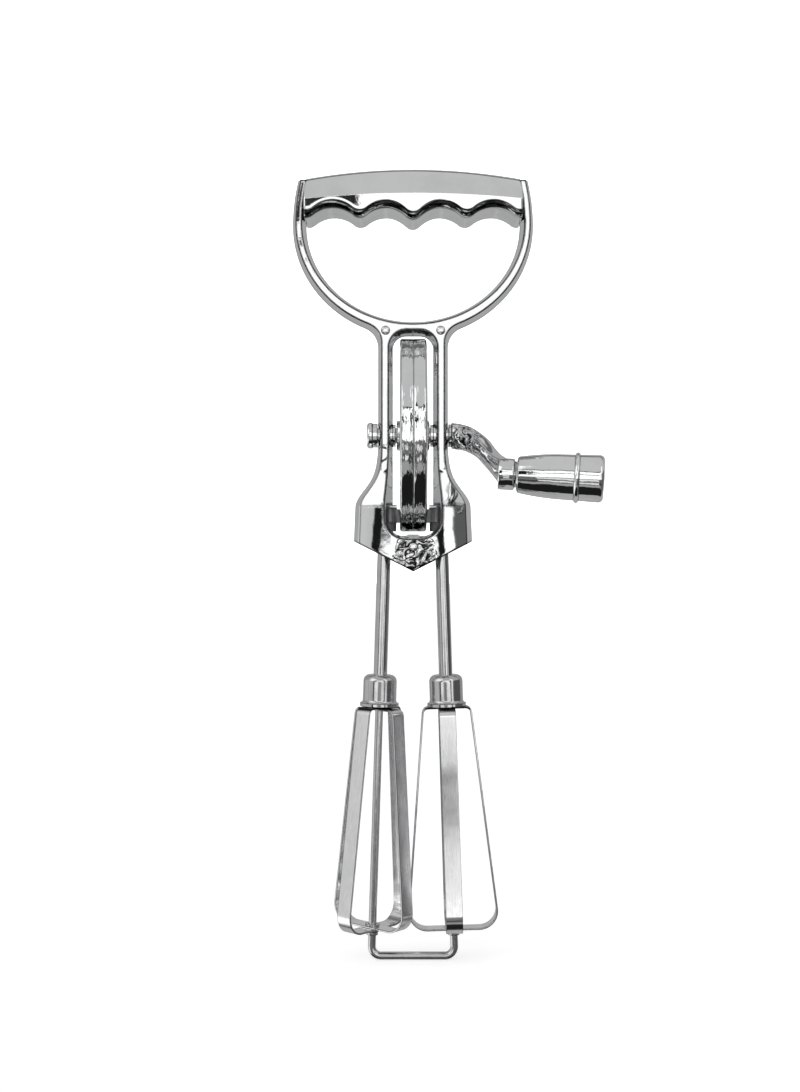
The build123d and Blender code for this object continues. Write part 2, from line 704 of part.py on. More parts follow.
def blade_loop(top, bottom):
    """Flat strip bent into a closed loop, with holes at the top and bottom crossings."""
    lean = (TOE_R - SHOULDER_R) / (BLADE_BOTTOM - BLADE_TOP)
    low_r = SHOULDER_R + lean * (bottom - BLADE_TOP)
    high_r = SHOULDER_R + lean * (top - BLADE_TOP)
    corners = [(-high_r, -top), (high_r, -top), (low_r, -bottom), (-low_r, -bottom)]
    bends = [SHOULDER_BEND, SHOULDER_BEND, TOE_BEND, TOE_BEND]
    outline = FilletPolyline(*corners, radius=bends, close=True)
    outer = make_face(outline)
    inner = offset(outer, -BLADE_THICK)
    strip = extrude(front_plane(BLADE_WIDTH / 2) * (outer - inner), amount=BLADE_WIDTH)
    strip = strip - upright(LOOP_HOLE, -top - 2, -top + 2)
    return strip - upright(EYELET_BARREL, -bottom - 2, -bottom + 2)


def ferrule():
    """Drawn cap over the top of the blades, with a round shoulder and a flared lip."""
    wall = FERRULE_WALL
    shoulder = 2.5
    top = -FERRULE_TOP
    lip = -FERRULE_LIP
    outline = [
        Line((TUBE_RADIUS, top), (FERRULE_RADIUS - shoulder, top)),
        ThreePointArc(
            (FERRULE_RADIUS - shoulder, top),
            (FERRULE_RADIUS - shoulder * 0.29, top - shoulder * 0.29),
            (FERRULE_RADIUS, top - shoulder),
        ),
        Line((FERRULE_RADIUS, top - shoulder), (FERRULE_RADIUS, lip + 2.6)),
        ThreePointArc((FERRULE_RADIUS, lip + 2.6), (7.0, lip + 1.5), (LIP_RADIUS, lip + 1.2)),
        Line((LIP_RADIUS, lip + 1.2), (LIP_RADIUS, lip)),
        Line((LIP_RADIUS, lip), (FERRULE_RADIUS - wall, lip)),
        Line((FERRULE_RADIUS - wall, lip), (FERRULE_RADIUS - wall, top - wall - 0.6)),
        Line((FERRULE_RADIUS - wall, top - wall - 0.6), (FERRULE_RADIUS - wall - 1.4, top - wall)),
        Line((FERRULE_RADIUS - wall - 1.4, top - wall), (TUBE_RADIUS, top - wall)),
        Line((TUBE_RADIUS, top - wall), (TUBE_RADIUS, top)),
    ]
    return revolve(Plane.XZ * make_face(outline), axis=Axis.Z)


def eyelet():
    """Flanged eyelet that gathers both loops and turns on the wire."""
    inner_floor = -BLADE_BOTTOM + 2 * BLADE_THICK
    barrel = upright(EYELET_BARREL, -BLADE_BOTTOM, inner_floor)
    flanges = upright(EYELET_FLANGE, inner_floor, inner_floor + EYELET_RIM)
    flanges = flanges + upright(EYELET_FLANGE, -BLADE_BOTTOM - EYELET_RIM, -BLADE_BOTTOM)
    return barrel + flanges - upright(TUBE_BORE, -BLADE_BOTTOM - 5, -BLADE_BOTTOM + 5)


def beater_parts(side, name, phase):
    """All the turning pieces of one beater, its blades turned by phase at rest."""
    loop_outer = blade_loop(BLADE_TOP, BLADE_BOTTOM)
    loop_inner = blade_loop(BLADE_TOP + BLADE_THICK, BLADE_BOTTOM - BLADE_THICK)
    plug_bore = upright(LOOP_HOLE, -BLADE_TOP - 1, -PLUG_STEP)
    plug_bore = plug_bore + upright(TUBE_RADIUS, -PLUG_STEP, -PLUG_TOP + 1)
    plug = upright(FERRULE_RADIUS - FERRULE_WALL, -BLADE_TOP, -PLUG_TOP) - plug_bore
    tube = upright(TUBE_RADIUS, -PLUG_STEP, -PINION_TOP)
    tube = tube - upright(TUBE_BORE, -PLUG_STEP - 1, -PINION_TOP + 1)
    local = {
        "pinion": pinion(),
        "shaft_tube": tube,
        "ferrule": ferrule(),
        "ferrule_plug": plug,
        "outer_blade_loop": Rot(Z=phase) * loop_outer,
        "inner_blade_loop": Rot(Z=phase + 90) * loop_inner,
        "bottom_eyelet": eyelet(),
    }
    return {f"{name}_{part}": on_beater(side, shape) for part, shape in local.items()}


def housing_fittings(side, name):
    """Fixed washer over a pinion and the bush that guides its tube out of the housing."""
    washer = upright(PINION_HUB, -PINION_TOP + BODY_GAP, -POCKET_TOP)
    washer = washer - upright(WIRE_RADIUS + 0.2, -PINION_TOP, -POCKET_TOP + 1)
    guide = upright(GUIDE_RADIUS, -GUIDE_LOW, -POCKET_FLOOR)
    guide = guide + upright(GUIDE_FLANGE_RADIUS, -POCKET_FLOOR, -POCKET_FLOOR + 0.8)
    guide = guide - upright(TUBE_RADIUS + RUNNING_GAP, -GUIDE_LOW - 1, -POCKET_FLOOR + 2)
    return {
        f"{name}_thrust_washer": on_beater(side, washer),
        f"{name}_guide_bush": on_beater(side, guide),
    }


def main():
    os.makedirs("parts", exist_ok=True)
    wire = support_wire()
    shells = frame_shells(wire)
    grip = grip_halves(shells)
    nodes = {
        "front_frame_shell": shells[0],
        "rear_frame_shell": shells[1],
        "grip_front_half": grip[0],
        "grip_rear_half": grip[1],
        "support_wire": wire,
        "left_axle_bush": bush(-1),
        "right_axle_bush": bush(1),
        **rivets(),
        **crank_parts(),
    }
    for side, name, phase in ((-1, "left", LEFT_PHASE), (1, "right", RIGHT_PHASE)):
        nodes.update(beater_parts(side, name, phase))
        nodes.update(housing_fittings(side, name))
    for node, shape in nodes.items():
        write(node, shape)


main()
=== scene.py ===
import json
import math

import bmesh
import bpy
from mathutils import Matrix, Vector


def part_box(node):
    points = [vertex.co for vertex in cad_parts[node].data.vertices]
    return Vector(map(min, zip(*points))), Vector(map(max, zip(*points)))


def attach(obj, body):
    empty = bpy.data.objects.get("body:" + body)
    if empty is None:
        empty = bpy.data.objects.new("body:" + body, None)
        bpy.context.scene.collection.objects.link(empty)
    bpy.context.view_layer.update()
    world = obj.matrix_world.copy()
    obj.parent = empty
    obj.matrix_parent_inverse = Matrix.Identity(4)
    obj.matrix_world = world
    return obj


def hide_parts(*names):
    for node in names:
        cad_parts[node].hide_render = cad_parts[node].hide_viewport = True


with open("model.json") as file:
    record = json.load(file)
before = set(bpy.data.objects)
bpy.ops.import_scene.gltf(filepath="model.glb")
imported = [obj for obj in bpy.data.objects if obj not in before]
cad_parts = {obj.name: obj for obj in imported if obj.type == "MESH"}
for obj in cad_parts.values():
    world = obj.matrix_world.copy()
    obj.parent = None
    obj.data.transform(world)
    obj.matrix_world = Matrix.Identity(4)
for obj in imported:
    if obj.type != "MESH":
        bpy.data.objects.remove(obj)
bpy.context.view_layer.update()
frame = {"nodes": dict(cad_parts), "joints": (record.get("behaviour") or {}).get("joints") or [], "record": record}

# Rotary egg beater: chrome plated handle, housing, wheel and crank, stainless beaters.
# Metres. The front faces -Y, the crank is on the +X side and the foot wire is the lowest point.

FLOOR_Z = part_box("support_wire")[0].z
AXLE_Z = (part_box("axle")[0].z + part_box("axle")[1].z) / 2
STUDIO_RADIUS = 6.0
SENSOR_WIDTH = 36.0           # millimetres, as the lens is
VIEW_DISTANCE = 0.600
VIEW_X = -0.0051
VIEW_Z = -0.1376
PICTURE_HEIGHT = 0.4289       # what the picture's long side takes in at the object
FLAG_DISTANCE = 0.300         # grey card in front of the beaters
FLAG_LEFT = -0.080
FLAG_RIGHT = 0.040


# ---- node helpers ---------------------------------------------------------------------


class Nodes:
    """Short calls for building one material's or the world's node tree."""

    def __init__(self, tree):
        self.tree = tree
        self.tree.nodes.clear()

    def add(self, kind, **settings):
        node = self.tree.nodes.new(kind)
        for name, value in settings.items():
            setattr(node, name, value)
        return node

    def put(self, socket, value):
        """Connect an output to the socket, or set the socket's own value."""
        if isinstance(value, bpy.types.NodeSocket):
            self.tree.links.new(value, socket)
        else:
            socket.default_value = value

    def math(self, operation, first, second=0.0):
        node = self.add("ShaderNodeMath", operation=operation)
        self.put(node.inputs[0], first)
        self.put(node.inputs[1], second)
        return node.outputs[0]

    def product(self, *factors):
        """Product of two or more values."""
        result = factors[0]
        for factor in factors[1:]:
            result = self.math("MULTIPLY", result, factor)
        return result

    def axes(self, vector):
        """The three components of a vector."""
        split = self.add("ShaderNodeSeparateXYZ")
        self.put(split.inputs[0], vector)
        return split.outputs

    def ramp(self, value, low, high, to_low=0.0, to_high=1.0):
        """Map low..high softly to to_low..to_high, clamped at both ends."""
        node = self.add("ShaderNodeMapRange", interpolation_type="SMOOTHSTEP")
        for socket, number in zip(node.inputs, (value, low, high, to_low, to_high)):
            self.put(socket, number)
        return node.outputs[0]

    def noise(self, vector, scale, detail=2.0, roughness=0.5, distortion=0.0):
        node = self.add("ShaderNodeTexNoise")
        self.put(node.inputs["Vector"], vector)
        self.put(node.inputs["Scale"], scale)
        self.put(node.inputs["Detail"], detail)
        self.put(node.inputs["Roughness"], roughness)
        self.put(node.inputs["Distortion"], distortion)
        return node.outputs[0]

    def mix(self, share, first, second):
        node = self.add("ShaderNodeMix", data_type="FLOAT")
        self.put(node.inputs[0], share)
        self.put(node.inputs[2], first)
        self.put(node.inputs[3], second)
        return node.outputs[0]

    def stretch(self, vector, scale):
        node = self.add("ShaderNodeMapping")
        self.put(node.inputs["Vector"], vector)
        self.put(node.inputs["Scale"], scale)
        return node.outputs[0]

    def tint(self, share, first, second):
        """Blend from the first colour to the second by a share."""
        node = self.add("ShaderNodeMix", data_type="RGBA")
        self.put(node.inputs[0], share)
        for socket, colour in ((node.inputs[6], first), (node.inputs[7], second)):
            self.put(socket, (*colour, 1.0) if isinstance(colour, tuple) else colour)
        return node.outputs[2]

    def bump(self, height, distance, under=None):
        """Relief of this height in metres, over an earlier relief if one is given."""
        node = self.add("ShaderNodeBump")
        self.put(node.inputs["Height"], height)
        self.put(node.inputs["Distance"], distance)
        self.put(node.inputs["Strength"], 1.0)
        if under is not None:
            self.put(node.inputs["Normal"], under)
        return node.outputs[0]


def new_material(name):
    """A material with its node helper, its shader and the place on the object."""
    material = bpy.data.materials.new(name)
    material.use_nodes = True
    nodes = Nodes(material.node_tree)
    shader = nodes.add("ShaderNodeBsdfPrincipled")
    output = nodes.add("ShaderNodeOutputMaterial")
    nodes.put(output.inputs["Surface"], shader.outputs[0])
    place = nodes.add("ShaderNodeTexCoord").outputs["Object"]
    return material, nodes, shader, place


# ---- materials ------------------------------------------------------------------------


EDGE_TURN = (0.995, 0.980)    # cosine of the normal's lean where an edge begins and is full


def rounded(nodes, radius):
    """Normal that rounds sharp edges a little, and how strongly each spot is an edge."""
    bevel = nodes.add("ShaderNodeBevel", samples=12)
    nodes.put(bevel.inputs["Radius"], radius)
    flat = nodes.add("ShaderNodeNewGeometry").outputs["Normal"]
    turn = nodes.add("ShaderNodeVectorMath", operation="DOT_PRODUCT")
    nodes.put(turn.inputs[0], bevel.outputs[0])
    nodes.put(turn.inputs[1], flat)
    return bevel.outputs[0], nodes.ramp(turn.outputs["Value"], *EDGE_TURN)


def add_vectors(nodes, first, second):
    node = nodes.add("ShaderNodeVectorMath", operation="ADD")
    nodes.put(node.inputs[0], first)
    nodes.put(node.inputs[1], second)
    return node.outputs[0]


def near(nodes, place, centre, reach):
    """One at a point, falling to nothing at this distance from it, alike at front and rear."""
    x, y, z = nodes.axes(place)
    joined = nodes.add("ShaderNodeCombineXYZ")
    for socket, value in zip(joined.inputs, (x, nodes.math("ABSOLUTE", y), z)):
        nodes.put(socket, value)
    gap = nodes.add("ShaderNodeVectorMath", operation="DISTANCE")
    nodes.put(gap.inputs[0], joined.outputs[0])
    nodes.put(gap.inputs[1], centre)
    return nodes.ramp(gap.outputs["Value"], 0.55 * reach, reach, 1.0, 0.0)


RIM_HALF_FACE = 0.0026        # half the width of the rim's face on one wheel half
RIM_CROWN = 0.00040           # height of the crown over that half width
RIM_LINES = 0.00024           # depth of the polishing lines


def wheel_rim_relief(nodes, place, normal):
    """Crowned face on each side of the parting line, with polishing lines round the rim."""
    x, y, z = nodes.axes(place)
    across = nodes.math("SUBTRACT", nodes.math("ABSOLUTE", x), RIM_HALF_FACE)
    across = nodes.math("DIVIDE", across, RIM_HALF_FACE)
    crown = nodes.math("SUBTRACT", 1.0, nodes.product(across, across))
    normal = nodes.bump(crown, RIM_CROWN, under=normal)
    angle = nodes.math("ARCTAN2", y, nodes.math("SUBTRACT", z, AXLE_Z))
    unrolled = nodes.add("ShaderNodeCombineXYZ")
    nodes.put(unrolled.inputs[0], nodes.product(x, 900.0))
    nodes.put(unrolled.inputs[1], nodes.product(angle, 6.0))
    lines = nodes.noise(unrolled.outputs[0], 1.0, detail=2.0)
    return nodes.bump(lines, RIM_LINES, under=normal)


def painted_band_shade(nodes, place):
    """Painted dark reflection, in streaks along the rounded edge over the finger hollows."""
    band = nodes.add("ShaderNodeAttribute", attribute_name="edge_band").outputs["Fac"]
    along = nodes.add("ShaderNodeCombineXYZ")
    nodes.put(along.inputs[0], nodes.product(nodes.axes(place)[0], 90.0))
    nodes.put(along.inputs[1], nodes.product(band, 6.0))
    streaks = nodes.ramp(nodes.noise(along.outputs[0], 1.0, detail=2.0), 0.60, 0.48)
    inside = nodes.product(nodes.ramp(band, 0.06, 0.14), nodes.ramp(band, 0.92, 0.66))
    return nodes.product(streaks, inside, 0.96)


def chrome(name, ripple=1.0, seed=0.0, edge=0.0006, edge_shade=0.93, rim=False, rough_at=None, band_shaded=False):
    """Mirror plating: slight ripple from the casting, faint wiping marks, and a painted dark reflection along the
    rounded edges.

    rough_at is a centre, a reach and a depth for a patch of rough casting. rim adds the
    wheel rim's relief, and the band flag adds painted dark reflection in streaks over the finger hollows.
    """
    material, nodes, shader, own_place = new_material(name)
    place = add_vectors(nodes, own_place, (seed, seed, seed))
    haze = nodes.noise(place, 55.0, detail=4.0, roughness=0.6)
    marks = nodes.noise(nodes.stretch(place, (900.0, 900.0, 90.0)), 1.0, detail=3.0)
    dull = nodes.ramp(haze, 0.45, 0.75, 0.025, 0.07)
    scratch = nodes.ramp(marks, 0.62, 0.80, 0.0, 0.05)
    nodes.put(shader.inputs["Roughness"], nodes.math("ADD", dull, scratch))
    tone = nodes.ramp(haze, 0.35, 0.70)
    plate = nodes.tint(tone, (0.90, 0.905, 0.91), (0.83, 0.835, 0.845))
    # Painted dark reflection along the rounded edges, laid into the base colour and scaled per material.
    normal, darkening = rounded(nodes, edge)
    darkening = nodes.product(darkening, edge_shade)
    if band_shaded:
        darkening = nodes.math("MAXIMUM", darkening, painted_band_shade(nodes, own_place))
    if rough_at:
        centre, reach, depth = rough_at
        blobs = nodes.noise(place, 300.0, detail=1.0, distortion=0.8)
        inside = near(nodes, own_place, centre, reach)
        level = nodes.math("SUBTRACT", blobs, 0.5)
        soiled = nodes.ramp(nodes.math("ABSOLUTE", level), 0.055, 0.022)
        darkening = nodes.math("MAXIMUM", darkening, nodes.product(soiled, inside))
        normal = nodes.bump(nodes.product(level, inside), depth, under=normal)
    # Near-black base colour where the painted dark edge reflection, the painted dark band and the rough casting's
    # pits lie.
    nodes.put(shader.inputs["Base Color"], nodes.tint(darkening, plate, (0.02, 0.02, 0.02)))
    shader.inputs["Metallic"].default_value = 1.0
    swell = nodes.noise(place, 85.0, detail=1.0)
    peel = nodes.noise(place, 420.0, detail=2.0)
    normal = nodes.bump(swell, 0.00045 * ripple, under=normal)
    if rim:
        normal = wheel_rim_relief(nodes, own_place, normal)
    nodes.put(shader.inputs["Normal"], nodes.bump(peel, 0.000035 * ripple, under=normal))
    return material


def drawn_steel(name, along=(1.0, 1.0, 0.04), light=0.72, dark=0.50, rough=(0.16, 0.34),
                grain=0.00004, swell=0.00025, edge=0.0003, shade_above=None):
    """Steel with fine lines along the direction it was drawn or rolled in, and a painted dark reflection along its
    edges.

    The last argument is a level above which the steel is painted dark, as painted shade where the strips go into
    the ferrules.
    """
    material, nodes, shader, place = new_material(name)
    fine = tuple(2600.0 * a for a in along)
    lines = nodes.noise(nodes.stretch(place, fine), 1.0, detail=3.0, roughness=0.6)
    patches = nodes.noise(place, 120.0, detail=4.0, roughness=0.6)
    tone = nodes.math("ADD", nodes.product(lines, 0.55), nodes.product(patches, 0.45))
    shades = [(shade, shade, shade * 1.01) for shade in (dark, light)]
    colour = nodes.tint(nodes.ramp(tone, 0.35, 0.65), *shades)
    # Painted dark reflection along the edges, laid into the base colour.
    normal, darkening = rounded(nodes, edge)
    painted_shade = nodes.product(darkening, 0.8)
    # Painted shade: the steel turns dark above the given level, where the strips go into the ferrules.
    if shade_above is not None:
        top_shade = nodes.ramp(nodes.axes(place)[2], shade_above - 0.0008, shade_above)
        painted_shade = nodes.math("MAXIMUM", painted_shade, top_shade)
    nodes.put(shader.inputs["Base Color"], nodes.tint(painted_shade, colour, (0.03, 0.03, 0.03)))
    nodes.put(shader.inputs["Roughness"], nodes.ramp(tone, 0.3, 0.7, rough[1], rough[0]))
    shader.inputs["Metallic"].default_value = 1.0
    normal = nodes.bump(nodes.noise(place, 140.0, detail=1.0), swell, under=normal)
    nodes.put(shader.inputs["Normal"], nodes.bump(lines, grain, under=normal))
    return material


def moulded(name, colour, rough=0.5):
    """Moulded engineering plastic with a fine matt grain and grease-darkened patches."""
    material, nodes, shader, place = new_material(name)
    patches = nodes.noise(place, 260.0, detail=4.0)
    low = tuple(0.72 * c for c in colour)
    nodes.put(shader.inputs["Base Color"], nodes.tint(nodes.ramp(patches, 0.35, 0.65), low, colour))
    nodes.put(shader.inputs["Roughness"], nodes.ramp(patches, 0.3, 0.7, rough - 0.12, rough + 0.12))
    grain = nodes.noise(place, 3500.0, detail=2.0)
    nodes.put(shader.inputs["Normal"], nodes.bump(grain, 0.00004))
    return material


HOUSING_POINT = (0.0005, 0.0138, -0.1405)
CRANK_HUB = (0.0205, 0.006, -0.0960)
STRIP_TOPS_Z = -0.2012        # where the blade strips go into the ferrules; the blades are painted dark above it, as painted shade

MATERIALS = {
    "frame_chrome": chrome("frame_chrome", 0.45, 0.0, 0.0015, rough_at=(HOUSING_POINT, 0.0090, 0.0048)),
    # The grip has no painted dark edge, but has a painted dark reflection band over the finger hollows.
    "grip_chrome": chrome("grip_chrome", 0.25, 0.31, 0.0008, edge_shade=0.0, band_shaded=True),
    "wheel_chrome": chrome("wheel_chrome", 0.7, 0.57, 0.0006, edge_shade=0.35, rim=True),
    "crank_chrome": chrome("crank_chrome", 0.8, 0.83, 0.0006, rough_at=(CRANK_HUB, 0.0085, 0.0024)),
    "knob_chrome": chrome("knob_chrome", 0.9, 1.17, 0.0005, edge_shade=0.6),
    "bush_chrome": chrome("bush_chrome", 1.3, 1.41, 0.0004),
    "wire_steel": drawn_steel(
        "wire_steel", light=0.74, dark=0.60, rough=(0.10, 0.2), grain=0.00001, swell=0.00006),
    "rivet_steel": drawn_steel(
        "rivet_steel", (1.0, 1.0, 1.0), 0.92, 0.80, (0.08, 0.2), 0.00001, 0.0001, 0.0003),
    "axle_steel": drawn_steel("axle_steel", (0.04, 1.0, 1.0)),
    "tube_steel": drawn_steel(
        "tube_steel", light=0.62, dark=0.50, rough=(0.08, 0.16), grain=0.00001, swell=0.00004),
    "ferrule_steel": drawn_steel(
        "ferrule_steel", (0.5, 0.5, 0.02), 0.66, 0.56, (0.12, 0.22), 0.00001, 0.00008),
    # The blades are painted dark above STRIP_TOPS_Z, as painted shade.
    "blade_steel": drawn_steel(
        "blade_steel", (0.9, 0.9, 0.03), 0.97, 0.86, (0.10, 0.20), 0.00001, 0.00006, 0.0004, STRIP_TOPS_Z),
    "pinion_nylon": moulded("pinion_nylon", (0.30, 0.30, 0.31)),
    "bearing_plastic": moulded("bearing_plastic", (0.62, 0.62, 0.60)),
}


# ---- pieces in mesh -------------------------------------------------------------------


def finish_piece(name, mesh_builder, slot, body, *nodes):
    """Turn a bmesh into a smooth object that rides on a body in place of CAD nodes."""
    mesh = bpy.data.meshes.new(name)
    bmesh.ops.recalc_face_normals(mesh_builder, faces=mesh_builder.faces)
    mesh_builder.to_mesh(mesh)
    mesh_builder.free()
    mesh.shade_smooth()
    mesh.materials.append(MATERIALS[slot])
    piece = bpy.data.objects.new(name, mesh)
    bpy.context.collection.objects.link(piece)
    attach(piece, body)
    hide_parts(*nodes)
    return piece


def loft_rings(builder, rings, sharp=()):
    """Skin closed rings of points, close both ends, and keep some lengthwise lines sharp."""
    rows = [[builder.verts.new(point) for point in ring] for ring in rings]
    count = len(rows[0])
    for low, high in zip(rows, rows[1:]):
        for k in range(count):
            builder.faces.new((low[k], low[(k + 1) % count], high[(k + 1) % count], high[k]))
    for row in (rows[0], rows[-1]):
        builder.faces.new(row)
    builder.edges.ensure_lookup_table()
    for row in (rows[0], rows[-1]):
        for k in range(count):
            builder.edges.get((row[k], row[(k + 1) % count])).smooth = False
    for k in sharp:
        for low, high in zip(rows, rows[1:]):
            builder.edges.get((low[k], high[k])).smooth = False


def bezier(points, steps):
    """Points along a cubic curve, without the last."""
    line = []
    for k in range(steps):
        t = k / steps
        shares = ((1 - t) ** 3, 3 * t * (1 - t) ** 2, 3 * t * t * (1 - t), t**3)
        line.append(tuple(sum(s * p[axis] for s, p in zip(shares, points)) for axis in (0, 1)))
    return line


GRIP_CROWN_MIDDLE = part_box("grip_front_half")[1].z
GRIP_STEPS = 150              # sections between the two ends
GRIP_CROWN_DROP = 0.0038      # how much lower the top is at the ends
GRIP_DEPTH = -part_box("grip_front_half")[0].y
GRIP_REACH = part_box("grip_front_half")[1].x
CREASE_MIDDLE = -0.0015
CREASE_DROP = 0.0021
FINGER_PITCH = 0.0207
FINGER_APEX = -0.0072
HOLLOW_RADIUS = 0.0120
RIDGE_RADIUS = 0.0040
MIDDLE_RIDGE_DROP = 0.0008    # the middle ridge hangs a little lower than the others
GRIP_LOWER_ROUND = 0.0038
GRIP_END_ROUND = 0.0007


def scallop_level(x):
    """Level of the underside: arcs of four finger hollows joined by tangent blunt ridges."""
    half_pitch = FINGER_PITCH / 2
    span = HOLLOW_RADIUS + RIDGE_RADIUS
    hollow_z = FINGER_APEX - HOLLOW_RADIUS
    ridge_z = hollow_z + math.sqrt(span**2 - half_pitch**2)
    from_ridge = abs((x + half_pitch) % FINGER_PITCH - half_pitch)
    if from_ridge < half_pitch * RIDGE_RADIUS / span:
        level = ridge_z - math.sqrt(RIDGE_RADIUS**2 - from_ridge**2)
    else:
        level = hollow_z + math.sqrt(HOLLOW_RADIUS**2 - (half_pitch - from_ridge) ** 2)
    if abs(x) < half_pitch:
        level -= MIDDLE_RIDGE_DROP * math.cos(math.pi * x / FINGER_PITCH) ** 2
    return level


def grip_ring(x, inset):
    """Half section across the grip: dome, crease, upright face, rounded edge, underside."""
    share = (x / GRIP_REACH) ** 2
    crown = GRIP_CROWN_MIDDLE - GRIP_CROWN_DROP * share - inset
    crease = CREASE_MIDDLE - CREASE_DROP * share
    low = scallop_level(x) + inset
    depth = GRIP_DEPTH - inset
    rise = crown - crease
    shoulder = (0.82 * depth, crease + 0.5 * rise)
    dome = bezier([(0, crown), (0.55 * depth, crown), shoulder, (depth, crease)], 14)
    radius = GRIP_LOWER_ROUND
    face = [(depth, crease + (low + radius - crease) * k) for k in (0.0, 0.5, 0.93)]
    turn = []
    for k in range(11):
        angle = math.radians(9.0 * k)
        turn.append((depth - radius + radius * math.cos(angle), low + radius - radius * math.sin(angle)))
    under = [((depth - radius) * (1 - k / 3), low) for k in range(1, 4)]
    return [Vector((x, -y, z)) for y, z in dome + face + turn + under]


GRIP_RING = 31                # points in a section: 14 dome, 3 face, 11 round, 3 under
GRIP_SHARP = (0, 14, 30)      # parting edge above, crease, parting edge below
BAND_START = 17               # the rounded edge between the face and the underside
BAND_END = 27


def grip_half(name, side, node):
    """Front or rear half of the hand grip, closed at the parting plane.

    edge_band runs from 0 to 1 over the rounded edge, for the material's painted dark streaks of reflection.
    """
    stations = [0.0, 0.12, 0.4, 1.0]
    ends = [(GRIP_REACH - share * GRIP_END_ROUND, share) for share in stations]
    rings = [(x, GRIP_END_ROUND * (1 - math.sqrt(1 - (1 - share) ** 2))) for x, share in ends]
    inner = GRIP_REACH - GRIP_END_ROUND
    middle = [(inner * (1 - 2 * k / GRIP_STEPS), 0.0) for k in range(1, GRIP_STEPS)]
    stations = rings + middle + [(-x, inset) for x, inset in reversed(rings)]
    points = [grip_ring(x, inset) for x, inset in stations]
    if side > 0:
        points = [[Vector((p.x, -p.y, p.z)) for p in ring] for ring in points]
    builder = bmesh.new()
    loft_rings(builder, points, sharp=GRIP_SHARP)
    piece = finish_piece(name, builder, "grip_chrome", "frame", node)
    band = piece.data.attributes.new("edge_band", "FLOAT", "POINT")
    for k in range(len(piece.data.vertices)):
        share = (k % GRIP_RING - BAND_START) / (BAND_END - BAND_START)
        band.data[k].value = min(1.0, max(0.0, share))
    return piece


ARM_STATIONS = [
    # along the axle, sideways, towards the knob, width across the arm, thickness
    (0.0151, 0.0, 0.0, 0.0100, 0.0100),
    (0.0174, -0.0003, 0.0002, 0.0100, 0.0100),
    (0.0203, -0.0004, 0.0016, 0.0094, 0.0100),
    (0.0236, -0.0005, 0.0056, 0.0089, 0.0082),
    (0.0266, -0.0005, 0.0116, 0.0086, 0.0072),
    (0.0288, -0.0006, 0.0191, 0.0082, 0.0066),
    (0.0306, -0.0004, 0.0260, 0.0084, 0.0063),
    (0.0325, -0.0001, 0.0325, 0.0098, 0.0062),
    (0.0340, 0.0, 0.0374, 0.0114, 0.0062),
]
ARM_SQUARENESS = 0.86         # below one, the section is fuller than an ellipse
HUB_STEPS = 4                 # sections of the hub, all square to the axle
BOSS_RADIUS = 0.0059
BOSS_HALF = 0.00297
BOSS_EDGE = 0.0005


def smooth_through(rows, steps):
    """Catmull-Rom run through rows of numbers."""
    padded = [[2 * a - b for a, b in zip(rows[0], rows[1])], *rows,
              [2 * a - b for a, b in zip(rows[-1], rows[-2])]]
    run = []
    for before, start, end, after in zip(padded, padded[1:], padded[2:], padded[3:]):
        for k in range(steps):
            t = k / steps
            row = []
            for p0, p1, p2, p3 in zip(before, start, end, after):
                bend = 2 * p0 - 5 * p1 + 4 * p2 - p3 + (3 * p1 - p0 - 3 * p2 + p3) * t
                row.append(p1 + 0.5 * t * (p2 - p0 + bend * t))
            run.append(row)
    return run + [list(rows[-1])]


def crank_casting():
    """Swan-neck arm in one sweep from its hub to the boss of the knob, with the boss."""
    joint = {j["name"]: j for j in frame["joints"]}["knob_spin"]
    knob = Vector(joint["pos_m"])
    outward = Vector(joint["axis"])
    axle = Vector((0, 0, AXLE_Z))
    down = (Vector((0, knob.y, knob.z)) - axle).normalized()
    along = Vector((1, 0, 0))
    sideways = down.cross(along)
    run = smooth_through(ARM_STATIONS, 8)
    centres = [axle + along * x + sideways * side + down * drop for x, side, drop, _, _ in run]
    rings = []
    for k, (_, _, _, width, thick) in enumerate(run):
        ahead = centres[min(k + 1, len(run) - 1)] - centres[max(k - 1, 0)]
        if k < HUB_STEPS:
            ahead = along
        across = ahead.cross(sideways).normalized()
        ring = []
        for step in range(40):
            angle = math.radians(9.0 * step)
            c, s = math.cos(angle), math.sin(angle)
            u = math.copysign(abs(c) ** ARM_SQUARENESS, c) * width / 2
            v = math.copysign(abs(s) ** ARM_SQUARENESS, s) * thick / 2
            ring.append(centres[k] + sideways * u + across * v)
        rings.append(ring)
    builder = bmesh.new()
    loft_rings(builder, rings)
    side_a = outward.orthogonal().normalized()
    side_b = outward.cross(side_a)
    inset = BOSS_EDGE * 0.3
    profile = [
        (-BOSS_HALF, BOSS_RADIUS - BOSS_EDGE),
        (-BOSS_HALF + inset, BOSS_RADIUS - inset),
        (-BOSS_HALF + BOSS_EDGE, BOSS_RADIUS),
        (BOSS_HALF - BOSS_EDGE, BOSS_RADIUS),
        (BOSS_HALF - inset, BOSS_RADIUS - inset),
        (BOSS_HALF, BOSS_RADIUS - BOSS_EDGE),
    ]
    rings = []
    for reach, radius in profile:
        centre = knob + outward * reach
        turns = [math.radians(5.0 * step) for step in range(72)]
        rings.append([centre + (side_a * math.cos(a) + side_b * math.sin(a)) * radius for a in turns])
    loft_rings(builder, rings)
    return finish_piece("crank_casting", builder, "crank_chrome", "crank", "crank_arm")


def dress_nodes():
    """Give every CAD node the detailed material of its slot."""
    for entry in frame["record"]["subparts"]:
        mesh = frame["nodes"][entry["node"]].data
        mesh.materials.clear()
        mesh.materials.append(MATERIALS[entry["material_slot"]])


# ---- studio ---------------------------------------------------------------------------


